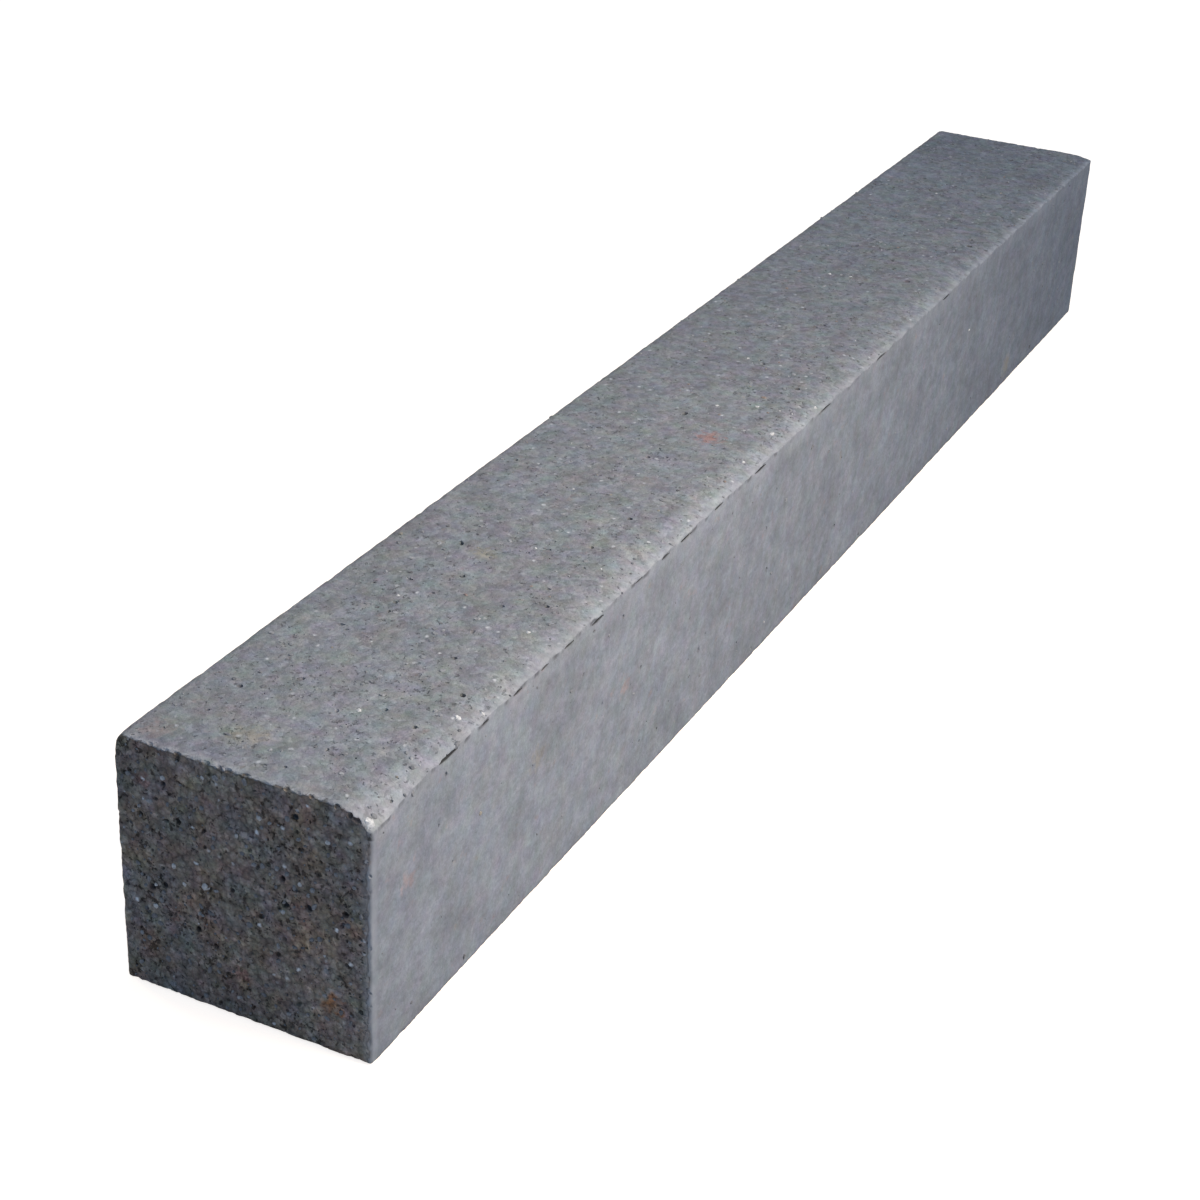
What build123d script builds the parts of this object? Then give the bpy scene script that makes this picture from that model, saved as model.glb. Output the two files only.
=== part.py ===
from build123d import *
import os

# Straight concrete kerb stone, 12 x 12 x 100 cm, pressed in a mould as one piece.
# It lies along X on its bed face, with its road face towards -Y and +Z up.
# The origin is the middle of the bed face. All lengths are in millimetres.

# Overall size
LENGTH = 1000.0
WIDTH = 120.0
HEIGHT = 120.0

# Rounded nose between the top and the road face. The curve leaves the top smoothly
# and meets the road face at an angle, where the press plate ends against the mould wall.
NOSE_RUN = 18.0
NOSE_DROP = 6.0

# The other arrises, as they come out of the mould and wear in handling
BACK_ARRIS_RADIUS = 5.0
BED_ARRIS_RADIUS = 1.5
END_ARRIS_RADIUS = 1.2

NODE_NAME = "kerb_stone"


def cross_section():
    """The stone's section across its length, with the long arrises rounded.

    In the sketch, X is the stone's Y and Y is its height.
    """
    road, back = -WIDTH / 2, WIDTH / 2
    crease = (road, HEIGHT - NOSE_DROP)
    nose_top = (road + NOSE_RUN, HEIGHT)
    with BuildSketch(Plane.YZ) as section:
        with BuildLine():
            Polyline(crease, (road, 0), (back, 0), (back, HEIGHT), nose_top)
            TangentArc(nose_top, crease, tangent=(-1, 0))
        make_face()
        bed_corners = section.vertices().group_by(Axis.Y)[0]
        fillet(bed_corners, radius=BED_ARRIS_RADIUS)
        back_corner = section.vertices().group_by(Axis.Y)[-1].sort_by(Axis.X)[-1]
        fillet(back_corner, radius=BACK_ARRIS_RADIUS)
    return section.sketch


def kerb_stone():
    """The whole stone: the section pressed to length, with the arrises round both ends eased."""
    bar = extrude(cross_section(), amount=LENGTH / 2, both=True)
    ends = bar.faces().filter_by(Axis.X)
    end_arrises = [edge for end in ends for edge in end.outer_wire().edges()]
    return fillet(end_arrises, radius=END_ARRIS_RADIUS)


os.makedirs("parts", exist_ok=True)
stone = kerb_stone()
stone.label = NODE_NAME
export_step(stone, f"parts/{NODE_NAME}.step")
print(f"{NODE_NAME}: {stone.volume / 1e6:.3f} litres, size {stone.bounding_box().size}")
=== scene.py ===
"""The looks of the concrete kerb stone: its cast skin, pores, grains, studio floor, lamps and camera.

Lengths are in metres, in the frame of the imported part: the stone lies along X on its
bed, with its road face towards -Y. The end that the camera sees is the one at -X.
"""
import math

import bpy
import numpy as np
from mathutils import Matrix, Vector, noise
from mathutils.geometry import delaunay_2d_cdt


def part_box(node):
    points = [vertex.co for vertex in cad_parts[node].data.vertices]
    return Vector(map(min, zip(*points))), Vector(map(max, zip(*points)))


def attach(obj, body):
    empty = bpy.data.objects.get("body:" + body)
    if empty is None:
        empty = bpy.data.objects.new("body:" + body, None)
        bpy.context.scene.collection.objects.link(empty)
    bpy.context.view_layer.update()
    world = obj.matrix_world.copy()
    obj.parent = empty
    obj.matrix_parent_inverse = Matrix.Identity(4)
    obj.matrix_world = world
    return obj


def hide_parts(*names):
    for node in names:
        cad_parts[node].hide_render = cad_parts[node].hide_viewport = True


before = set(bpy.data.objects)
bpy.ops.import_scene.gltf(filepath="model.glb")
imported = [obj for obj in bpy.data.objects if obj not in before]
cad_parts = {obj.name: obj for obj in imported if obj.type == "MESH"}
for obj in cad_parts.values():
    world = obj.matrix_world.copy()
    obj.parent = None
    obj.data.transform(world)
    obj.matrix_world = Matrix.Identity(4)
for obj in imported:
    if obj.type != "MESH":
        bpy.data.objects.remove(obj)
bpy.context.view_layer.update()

MM = 0.001

# The stone's size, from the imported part
STONE = "kerb_stone"
stone_low, stone_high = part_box(STONE)
LENGTH = stone_high.x - stone_low.x
WIDTH = stone_high.y - stone_low.y
HEIGHT = stone_high.z - stone_low.z

# Its arrises, as in the part's source
NOSE_RUN = 18 * MM
NOSE_DROP = 6 * MM
BACK_ARRIS_RADIUS = 5 * MM
BED_ARRIS_RADIUS = 1.5 * MM
END_ARRIS_RADIUS = 1.2 * MM
NOSE_RADIUS = (NOSE_RUN ** 2 + NOSE_DROP ** 2) / (2 * NOSE_DROP)
CREASE_Z = HEIGHT - NOSE_DROP

SEED = 12


# The section

def arc(centre, radius, start, end, step):
    """Points on an arc in the YZ plane, from one angle to another in degrees."""
    count = max(3, round(abs(math.radians(end - start)) * radius / step))
    angles = np.radians(np.linspace(start, end, count))
    return np.stack([centre[0] + radius * np.cos(angles), centre[1] + radius * np.sin(angles)], 1)


def section():
    """The outline across the stone, from the middle of the bed up the road face and round."""
    step = 0.25 * MM
    soften = 0.5 * MM
    half = WIDTH / 2
    bed, back = BED_ARRIS_RADIUS, BACK_ARRIS_RADIUS
    nose_angle = math.degrees(math.asin(NOSE_RUN / NOSE_RADIUS))
    corners = np.concatenate([
        [(0, 0)],
        arc((-half + bed, bed), bed, 270, 180, step),
        arc((-half + NOSE_RUN, HEIGHT - NOSE_RADIUS), NOSE_RADIUS, 90 + nose_angle, 90, step),
        arc((half - back, HEIGHT - back), back, 90, 0, step),
        arc((half - bed, bed), bed, 0, -90, step),
        [(0, 0)],
    ])
    along = np.concatenate([[0], np.cumsum(np.hypot(*np.diff(corners, axis=0).T))])
    count = round(along[-1] / step)
    places = np.linspace(0, along[-1], count, endpoint=False)
    outline = np.stack([np.interp(places, along, corners[:, axis]) for axis in (0, 1)], 1)
    reach = round(3 * soften / step)
    weights = np.exp(-0.5 * (np.arange(-reach, reach + 1) * step / soften) ** 2)
    weights /= weights.sum()
    soft = sum(weight * np.roll(outline, shift, axis=0)
               for weight, shift in zip(weights, range(-reach, reach + 1)))
    return places, soft, along[-1]


def outward(outline):
    """The unit normals of the closed outline, pointing out of the stone."""
    run = np.roll(outline, -1, axis=0) - np.roll(outline, 1, axis=0)
    run /= np.linalg.norm(run, axis=1)[:, None]
    return np.stack([-run[:, 1], run[:, 0]], 1)


GIRTH_PLACES, OUTLINE, GIRTH = section()
OUTLINE_NORMALS = outward(OUTLINE)


def round_the_girth(column, place):
    """A column of the outline or its normals, read at places round the girth."""
    return np.interp(place, GIRTH_PLACES, column, period=GIRTH)


def place_of(y, z):
    """How far round the girth a point of the section lies."""
    gaps = np.hypot(OUTLINE[:, 0] - y, OUTLINE[:, 1] - z)
    return float(GIRTH_PLACES[np.argmin(gaps)])


CREASE_PLACE = place_of(-WIDTH / 2, CREASE_Z)
ROAD_BED_PLACE = place_of(-WIDTH / 2, 0)
BACK_TOP_PLACE = place_of(WIDTH / 2, HEIGHT)
BACK_BED_PLACE = place_of(WIDTH / 2, 0)


# The stone's skin as a closed mesh

FLAT_REACH = LENGTH / 2 - END_ARRIS_RADIUS
CAP_REACH = FLAT_REACH + END_ARRIS_RADIUS * math.pi / 2
FINEST = 1.3 * MM
COARSEST = 6.5 * MM


def skin_point(place, reach):
    """A point of the skin and its normal, from its place round the girth and its reach.

    Past the flat part, the reach goes round the end arris and down onto the end face.
    """
    side = np.sign(reach)
    turn = np.clip((np.abs(reach) - FLAT_REACH) / END_ARRIS_RADIUS, 0, math.pi / 2)
    inset = END_ARRIS_RADIUS * (1 - np.cos(turn))
    x = side * (np.minimum(np.abs(reach), FLAT_REACH) + END_ARRIS_RADIUS * np.sin(turn))
    y, z = (round_the_girth(OUTLINE[:, axis], place) for axis in (0, 1))
    ny, nz = (round_the_girth(OUTLINE_NORMALS[:, axis], place) for axis in (0, 1))
    point = np.stack([x, y - inset * ny, z - inset * nz], 1)
    normal = np.stack([side * np.sin(turn), ny * np.cos(turn), nz * np.cos(turn)], 1)
    return point, normal / np.linalg.norm(normal, axis=1)[:, None]


def graded_points(width, height, wanted, rng):
    """Jittered points in a rectangle, as close together as wanted(x, y) asks."""
    columns, rows = math.ceil(width / COARSEST), math.ceil(height / COARSEST)
    size = np.array([width / columns, height / rows])
    x, y = np.meshgrid((np.arange(columns) + 0.5) * size[0], (np.arange(rows) + 0.5) * size[1])
    centres = np.stack([x.ravel(), y.ravel()], 1)
    found = []
    while len(centres):
        split = wanted(centres[:, 0], centres[:, 1]) < size.max() * 0.75
        jitter = rng.uniform(-0.3, 0.3, (np.count_nonzero(~split), 2)) * size
        found.append(centres[~split] + jitter)
        quarters = np.array([(-1, -1), (1, -1), (-1, 1), (1, 1)]) * size / 4
        centres = (centres[split][:, None] + quarters).reshape(-1, 2)
        size = size / 2
    return np.concatenate(found)


def triangles(points, outline=None):
    """Delaunay triangles of points in a plane, inside the outline where there is one."""
    faces, kept = ([outline], 1) if outline else ([], 0)
    result = delaunay_2d_cdt([Vector(point) for point in points], [], faces, kept, 1e-9)
    origins = result[3]
    return [[origins[corner][0] for corner in face] for face in result[2]]


def girth_gap(place, other):
    """The distance round the girth between two places."""
    gap = np.abs(place - other) % GIRTH
    return np.minimum(gap, GIRTH - gap)


def long_faces(rng):
    """Points of the four long faces as reach and place, their triangles, and a ring's count."""
    def wanted(reach, place):
        """How far apart the points lie: closest at the arrises and round the knocked corner."""
        from_end = CAP_REACH - np.abs(reach - CAP_REACH)
        size = np.minimum(COARSEST, FINEST + 0.28 * from_end)
        size = np.minimum(size, 1.5 * MM + 0.35 * girth_gap(place, CREASE_PLACE))
        for arris in (ROAD_BED_PLACE, BACK_TOP_PLACE, BACK_BED_PLACE):
            size = np.minimum(size, 2.4 * MM + 0.5 * girth_gap(place, arris))
        from_knock = np.hypot(reach + CAP_REACH, girth_gap(place, BACK_TOP_PLACE))
        return np.minimum(size, np.maximum(FINEST, 0.25 * (from_knock - 12 * MM)))

    loose = graded_points(2 * CAP_REACH, GIRTH, wanted, rng)
    loose[:, 0] -= CAP_REACH
    clear = CAP_REACH - np.abs(loose[:, 0]) > 0.5 * FINEST
    clear &= girth_gap(loose[:, 1], 0) > 1.5 * MM
    clear &= girth_gap(loose[:, 1], CREASE_PLACE) > 0.35 * MM
    ring = np.linspace(0, GIRTH, round(GIRTH / FINEST), endpoint=False)
    ends = [np.stack([np.full_like(ring, side * CAP_REACH), ring], 1) for side in (-1, 1)]
    crease_run = np.linspace(-CAP_REACH, CAP_REACH, round(2 * CAP_REACH / (1.6 * MM)))[1:-1]
    crease = np.stack([crease_run, np.full_like(crease_run, CREASE_PLACE)], 1)
    seam_run = np.linspace(-CAP_REACH, CAP_REACH, round(2 * CAP_REACH / COARSEST))[1:-1]
    seam = np.stack([seam_run, np.zeros_like(seam_run)], 1)
    points = np.concatenate([*ends, crease, seam, loose[clear]])
    first_seam = 2 * len(ring) + len(crease)
    seam_numbers = [*range(first_seam, first_seam + len(seam)), 0, len(ring)]
    copies = points[seam_numbers] + (0, GIRTH)
    same_as = [*range(len(points)), *seam_numbers]
    faces = [[same_as[corner] for corner in face]
             for face in triangles(np.concatenate([points, copies]))]
    return points, faces, len(ring)


def end_face(side, loop, rng):
    """Points on one end face inside its loop, and the triangles that fill the loop."""
    loose = graded_points(WIDTH, HEIGHT, lambda y, z: np.full_like(y, FINEST), rng)
    loose[:, 0] -= WIDTH / 2
    gaps = np.linalg.norm(loose[:, None] - loop, axis=2)
    nearest = gaps.argmin(1)
    ahead = (np.roll(loop, -1, axis=0) - loop)[nearest]
    across = loose - loop[nearest]
    inside = ahead[:, 0] * across[:, 1] - ahead[:, 1] * across[:, 0] < 0
    points = np.concatenate([loop, loose[inside & (gaps.min(1) > 0.6 * MM)]])
    faces = triangles(points, list(range(len(loop))))
    if side < 0:
        faces = [face[::-1] for face in faces]
    added = points[len(loop):]
    return np.column_stack([np.full(len(added), side * LENGTH / 2), added]), faces


def skin():
    """The smooth closed skin: points, normals, triangles and distance to the nearest arris."""
    rng = np.random.default_rng(SEED)
    flat, faces, ring = long_faces(rng)
    reach, place = flat.T
    points, normals = skin_point(place, reach)
    from_arris = np.abs(CAP_REACH - END_ARRIS_RADIUS * math.pi / 4 - np.abs(reach))
    for arris in (ROAD_BED_PLACE, BACK_TOP_PLACE, BACK_BED_PLACE):
        from_arris = np.minimum(from_arris, girth_gap(place, arris))
    from_crease = girth_gap(place, CREASE_PLACE)
    for index, side in enumerate((-1, 1)):
        loop = np.arange(index * ring, (index + 1) * ring)
        edge = points[loop][:, 1:]
        added, cap = end_face(side, edge, rng)
        numbers = np.concatenate([loop, np.arange(len(points), len(points) + len(added))])
        faces += [numbers[face].tolist() for face in cap]
        points = np.concatenate([points, added])
        normals = np.concatenate([normals, np.tile((side, 0, 0), (len(added), 1))])
        to_edge = np.linalg.norm(added[:, None, 1:] - edge, axis=2).min(1)
        from_arris = np.concatenate([from_arris, to_edge + END_ARRIS_RADIUS * math.pi / 4])
        from_crease = np.concatenate([from_crease, np.full(len(added), WIDTH)])
    return points, normals, faces, from_arris, from_crease


# The relief of the cast surface

def lumps(points, size, octaves=3, shift=0.0):
    """Soft noise from about -1 to 1 at each point, with lumps of the given size."""
    return np.array([noise.fractal(Vector(point), 0.9, 2.1, octaves)
                     for point in (points / size + shift).tolist()])


def relief(points, normals):
    """How far inside the nominal skin each point lies."""
    end = np.abs(normals[:, 0])
    top = np.clip(normals[:, 2], 0, 1) * (1 - end)
    broad = 0.12 * lumps(points, 70 * MM)
    middle = (0.06 + 0.06 * top) * lumps(points, 16 * MM, shift=3)
    coarse = (0.03 + 0.09 * top + 0.30 * end) * lumps(points, 3.4 * MM, shift=7)
    return (0.50 + 0.15 * end + broad + middle + coarse) * MM


def arris_wear(points, from_arris):
    """How much has crumbled off along the arrises."""
    near = np.exp(-(from_arris / (1.3 * MM)) ** 2)
    chips = np.clip(lumps(points, 9 * MM, shift=11) - 0.05, 0, None)
    crumbs = np.clip(lumps(points, 2.6 * MM, 2, shift=13), 0, None)
    return near * (0.05 + 0.6 * chips + 0.5 * crumbs) * MM


def fin(points, from_crease):
    """The height of the thin fin that the mould leaves along the crease."""
    height = np.clip(0.45 + 1.1 * lumps(points * (1, 0, 0), 9 * MM, shift=17), 0, 1)
    return 0.48 * MM * height * np.exp(-(from_crease / (0.9 * MM)) ** 2)


# The nose drops less along the stone than in the part's source, more at the worn near end,
# and least at the far end
MIDDLE_LESS = 2.4 * MM
FAR_LESS = 1.1 * MM
NEAR_WORN = 5.0 * MM
WORN_REACH = 26 * MM


def nose_drop(x):
    """How far the crease lies below the top, along the stone."""
    from_near = x + LENGTH / 2
    worn = NEAR_WORN * np.exp(-(from_near / WORN_REACH) ** 2)
    fuller = FAR_LESS * np.clip((x - 0.05 * LENGTH) / (0.4 * LENGTH), 0, 1)
    places = np.column_stack([x, np.zeros_like(x), np.zeros_like(x)])
    wander = 0.5 * lumps(places, 26 * MM, 2, shift=29) + 1.4 * lumps(places, 12 * MM, 3, shift=37)
    return NOSE_DROP + worn - fuller - MIDDLE_LESS + wander * MM


def nose_stretch(points):
    """How much of the nose's change each point follows, and both scales of its height."""
    drop = nose_drop(points[:, 0])
    share = np.clip((-WIDTH / 2 + NOSE_RUN - points[:, 1]) / NOSE_RUN, 0, 1)
    below = 1 + share * ((HEIGHT - drop) / CREASE_Z - 1)
    above = 1 + share * (drop / NOSE_DROP - 1)
    return below, above


def shape_nose(points):
    """Moves the crease to where the nose's drop puts it, and what lies round it along."""
    below, above = nose_stretch(points)
    z = points[:, 2]
    moved = np.where(z < CREASE_Z, z * below, HEIGHT - (HEIGHT - z) * above)
    points[:, 2] = moved


def moulded(points):
    """Where each point lay before the nose was shaped."""
    below, above = nose_stretch(points)
    z = points[:, 2]
    even = np.where(z < CREASE_Z * below, z / below, HEIGHT - (HEIGHT - z) / above)
    return np.column_stack([points[:, :2], even])


# The upright arrises of the road face, worn round at both ends
UPRIGHT_WEAR = 2.1 * MM
UPRIGHT_SOFTNESS = 0.8 * MM

# The height and the reach of the deeper wear just under the nose of the near end
BULGE_HEIGHT = 103 * MM
BULGE_REACH = 7 * MM


def wear_uprights(points):
    """Rounds the arrises between the road face and the ends, unevenly up the stone."""
    uneven = 1.3 * lumps(points * (0, 0, 1) + points[:, :1] * (1, 0, 0) * 0.01, 14 * MM, 2, shift=31)
    bulge = 1.6 * np.exp(-((points[:, 2] - BULGE_HEIGHT) / BULGE_REACH) ** 2) * (points[:, 0] < 0)
    reach = UPRIGHT_WEAR + (uneven + bulge) * MM
    outside = np.abs(points[:, 0]) - LENGTH / 2 - points[:, 1] - WIDTH / 2
    past = (outside + reach) / math.sqrt(2)
    near = past > -6 * MM
    depth = UPRIGHT_SOFTNESS * np.log1p(np.exp(past[near] / UPRIGHT_SOFTNESS)) / math.sqrt(2)
    points[near, 0] -= np.sign(points[near, 0]) * depth
    points[near, 1] += depth


# The near end's corner at the back of the top, knocked off and worn round in handling
KNOCKED_CORNER = np.array((-LENGTH / 2, WIDTH / 2, HEIGHT))
KNOCK_REACH = np.array((5, 5.5, 6.5)) * MM
KNOCK_NORMAL = (1 / KNOCK_REACH) / np.linalg.norm(1 / KNOCK_REACH)
KNOCK_SOFTNESS = 1.5 * MM


def past_knock(points):
    """How far each point lies outside the plane across the knocked corner."""
    inside = np.abs(points - KNOCKED_CORNER)
    return KNOCK_REACH[0] * KNOCK_NORMAL[0] - inside @ KNOCK_NORMAL


def knock_depth(points):
    """How deep the worn corner's rounded surface takes away each point."""
    return KNOCK_SOFTNESS * np.log1p(np.exp(past_knock(points) / KNOCK_SOFTNESS))


def knock_corner(points):
    """Wears the corner round."""
    inwards = KNOCK_NORMAL * (1, -1, -1)
    near = past_knock(points) > -12 * MM
    points[near] += inwards * knock_depth(points[near])[:, None]


def linked(name, mesh):
    """A new object in the scene."""
    thing = bpy.data.objects.new(name, mesh)
    bpy.context.scene.collection.objects.link(thing)
    return thing


# Shares of the ends, the top, the bed and the sides that voids, pinholes and grains take up
OPEN_SHARES = {
    "void_share": (1.0, 0.11, 0.06, 0.015),
    "pinhole_share": (1.0, 0.06, 0.04, 0.012),
    "grain_share": (1.0, 0.30, 0.10, 0.03),
}


def cast_stone():
    """The stone's closed skin with its relief, before any pore is cut."""
    points, normals, faces, from_arris, from_crease = skin()
    depth = relief(points, normals) + arris_wear(points, from_arris) - fin(points, from_crease)
    points = points - normals * np.clip(depth, 0.02 * MM, None)[:, None]
    shape_nose(points)
    wear_uprights(points)
    knock_corner(points)
    mesh = bpy.data.meshes.new("cast_stone")
    mesh.from_pydata(points.tolist(), [], faces)
    end = np.abs(normals[:, 0])
    top = np.clip(normals[:, 2], 0, 1) * (1 - end)
    bed = np.clip(-normals[:, 2], 0, 1) * (1 - end)
    side = np.clip(np.abs(normals[:, 1]), 0, 1) * (1 - end)
    clear = (from_arris > 2.2 * MM) & (past_knock(points) < -3 * MM)
    for name, shares in OPEN_SHARES.items():
        column = mesh.attributes.new(name, "FLOAT", "POINT")
        share = sum(part * kind for part, kind in zip(shares, (end, top, bed, side)))
        column.data.foreach_set("value", share * clear)
    return linked("concrete_body", mesh)


# Node trees

def add(tree, kind, inputs=None, **settings):
    """A new node, with its settings made and its inputs linked or filled."""
    node = tree.nodes.new(kind)
    for name, value in settings.items():
        setattr(node, name, value)
    for name, value in (inputs or {}).items():
        if isinstance(value, bpy.types.NodeSocket):
            tree.links.new(value, node.inputs[name])
        else:
            node.inputs[name].default_value = value
    return node


def geometry_tree(name, inputs):
    """A Geometry Nodes tree with named inputs, and the node that gives their values."""
    tree = bpy.data.node_groups.new(name, "GeometryNodeTree")
    for label, (kind, value) in inputs.items():
        socket = tree.interface.new_socket(label, in_out="INPUT", socket_type=f"NodeSocket{kind}")
        if value is not None:
            socket.default_value = value
    tree.interface.new_socket("Geometry", in_out="OUTPUT", socket_type="NodeSocketGeometry")
    return tree, add(tree, "NodeGroupInput").outputs


def finish_tree(tree, geometry, material):
    """Ends a tree in realized instances with their material."""
    real = add(tree, "GeometryNodeRealizeInstances", {"Geometry": geometry}).outputs[0]
    dressed = add(tree, "GeometryNodeSetMaterial", {"Geometry": real, "Material": material})
    add(tree, "NodeGroupOutput", {"Geometry": dressed.outputs[0]})


def shaped(thing, tree, values):
    """Runs a tree on an object and keeps the result as its plain mesh."""
    modifier = thing.modifiers.new(tree.name, "NODES")
    modifier.node_group = tree
    for item in tree.interface.items_tree:
        if item.in_out == "INPUT" and item.name in values:
            modifier[item.identifier] = values[item.name]
    depsgraph = bpy.context.evaluated_depsgraph_get()
    mesh = bpy.data.meshes.new_from_object(thing.evaluated_get(depsgraph),
                                           preserve_all_data_layers=True, depsgraph=depsgraph)
    thing.modifiers.clear()
    thing.data = mesh
    mesh.name = thing.name


def maths(tree, operation, *values, **settings):
    """The result of a sum on numbers."""
    inputs = dict(enumerate(values))
    return add(tree, "ShaderNodeMath", inputs, operation=operation, **settings).outputs[0]


def product(tree, first, *factors):
    """Numbers multiplied together."""
    for factor in factors:
        first = maths(tree, "MULTIPLY", first, factor)
    return first


def vector_maths(tree, operation, first, second):
    """The result of a sum on vectors."""
    return add(tree, "ShaderNodeVectorMath", {0: first, 1: second}, operation=operation).outputs[0]


def scaled(tree, vector, scale):
    """A vector or a colour times a number."""
    return add(tree, "ShaderNodeVectorMath", {0: vector, "Scale": scale}, operation="SCALE").outputs[0]


def offset_by_noise(tree, noises, reach):
    """An offset from the colour of a noise, as likely one way as the other."""
    return scaled(tree, vector_maths(tree, "SUBTRACT", noises, (0.5, 0.5, 0.5)), reach)


def varied(tree, value, low, high, start=0.0, end=1.0):
    """A value from one range carried over to another."""
    inputs = {"Value": value, "From Min": start, "From Max": end, "To Min": low, "To Max": high}
    return add(tree, "ShaderNodeMapRange", inputs).outputs[0]


def stored(tree, name, kind="FLOAT_VECTOR"):
    """What a mesh keeps under a name."""
    inputs = {"Name": name}
    return add(tree, "GeometryNodeInputNamedAttribute", inputs, data_type=kind).outputs["Attribute"]


def random_number(tree, low, high, seed):
    """A random number for each instance."""
    inputs = {2: low, 3: high, 8: seed}
    return add(tree, "FunctionNodeRandomValue", inputs, data_type="FLOAT").outputs[1]


def random_vector(tree, low, high, seed):
    """A random vector for each instance."""
    inputs = {0: low, 1: high, 8: seed}
    return add(tree, "FunctionNodeRandomValue", inputs, data_type="FLOAT_VECTOR").outputs[0]


def lumpy_shapes(tree, segments, rings, roughness, variants=5):
    """A few different lumps of about unit radius, as instances to pick from."""
    joined = add(tree, "GeometryNodeJoinGeometry")
    for variant in range(variants):
        ball = add(tree, "GeometryNodeMeshUVSphere",
                   {"Segments": segments, "Rings": rings, "Radius": 1.0}).outputs["Mesh"]
        bumps = add(tree, "ShaderNodeTexNoise", {"W": 3.7 * variant, "Scale": 0.9},
                    noise_dimensions="4D").outputs["Color"]
        offset = offset_by_noise(tree, bumps, roughness)
        lump = add(tree, "GeometryNodeSetPosition", {"Geometry": ball, "Offset": offset})
        single = add(tree, "GeometryNodeGeometryToInstance", {"Geometry": lump.outputs[0]})
        tree.links.new(single.outputs[0], joined.inputs[0])
    return joined.outputs[0]


# How many points per square of the spacing are tried before those too close together are dropped
CROWDING = 1.6


def scattered(tree, surface, shapes, share_name, spacing, sizes, flatness, sunk, patchiness, seed):
    """Lumps of random size strewn over a surface, sunk into it by a share of their depth."""
    patches = add(tree, "ShaderNodeTexNoise", {"Scale": 45.0, "Detail": 2.0}).outputs["Fac"]
    patchy = varied(tree, patches, 1 - patchiness, 1, 0.40, 0.60)
    area = product(tree, spacing, spacing)
    points = add(tree, "GeometryNodeDistributePointsOnFaces", {
        "Mesh": surface, "Distance Min": spacing, "Density Max": maths(tree, "DIVIDE", CROWDING, area),
        "Density Factor": product(tree, stored(tree, share_name, "FLOAT"), patchy), "Seed": seed},
        distribute_method="POISSON").outputs
    skew = maths(tree, "POWER", random_number(tree, 0.0, 1.0, seed), 2.0)
    size = varied(tree, skew, *sizes)
    shape = random_vector(tree, (0.6, 0.6, 0.8 * flatness), (1.5, 1.1, 1.2 * flatness), 3)
    placed = add(tree, "GeometryNodeInstanceOnPoints", {
        "Points": points["Points"], "Instance": shapes, "Pick Instance": True,
        "Rotation": points["Rotation"], "Scale": scaled(tree, shape, size)}).outputs[0]
    turn = random_vector(tree, (-0.4, -0.4, 0.0), (0.4, 0.4, 2 * math.pi), 5)
    turned = add(tree, "GeometryNodeRotateInstances",
                 {"Instances": placed, "Rotation": turn, "Local Space": True}).outputs[0]
    drop = add(tree, "ShaderNodeCombineXYZ", {"Z": product(tree, size, -sunk * flatness)})
    return add(tree, "GeometryNodeTranslateInstances", {
        "Instances": turned, "Translation": drop.outputs[0], "Local Space": True}).outputs[0]


def carved(tree, body, cutters):
    """The body with the cutters taken out of it."""
    real = add(tree, "GeometryNodeRealizeInstances", {"Geometry": cutters}).outputs[0]
    cut = add(tree, "GeometryNodeMeshBoolean", {"Mesh 1": body, "Mesh 2": real},
              operation="DIFFERENCE", solver="MANIFOLD")
    return cut.outputs["Mesh"]


def pore_tree():
    """Cuts the listed marks, then voids and pinholes all over the skin."""
    tree, given = geometry_tree("cut_pores", {
        "Geometry": ("Geometry", None), "Marks": ("Object", None), "Material": ("Material", None),
        "Void spacing": ("Float", 4.4 * MM), "Void radius": ("Float", 1.9 * MM),
        "Pinhole spacing": ("Float", 2.9 * MM), "Pinhole radius": ("Float", 0.9 * MM),
        "Seed": ("Int", 1)})
    lumpy = lumpy_shapes(tree, 7, 4, 1.5)
    smoother = lumpy_shapes(tree, 10, 5, 0.6)
    marks = add(tree, "GeometryNodeObjectInfo", {"Object": given["Marks"]}).outputs["Geometry"]
    listed = add(tree, "GeometryNodeInstanceOnPoints", {
        "Points": marks, "Instance": smoother, "Pick Instance": True,
        "Rotation": stored(tree, "turn"), "Scale": stored(tree, "half_size")}).outputs[0]
    skin_mesh = given["Geometry"]
    voids = scattered(tree, skin_mesh, lumpy, "void_share", given["Void spacing"],
                      sizes=(0.6 * MM, given["Void radius"]), flatness=0.8, sunk=0.15,
                      patchiness=0.9, seed=given["Seed"])
    pinholes = scattered(tree, skin_mesh, lumpy_shapes(tree, 5, 3, 1.0), "pinhole_share",
                         given["Pinhole spacing"], sizes=(0.35 * MM, given["Pinhole radius"]),
                         flatness=1.1, sunk=0.3, patchiness=0.7,
                         seed=maths(tree, "ADD", given["Seed"], 7))
    body = carved(tree, skin_mesh, listed)
    body = carved(tree, body, voids)
    body = carved(tree, body, pinholes)
    finish_tree(tree, body, given["Material"])
    return tree


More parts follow.
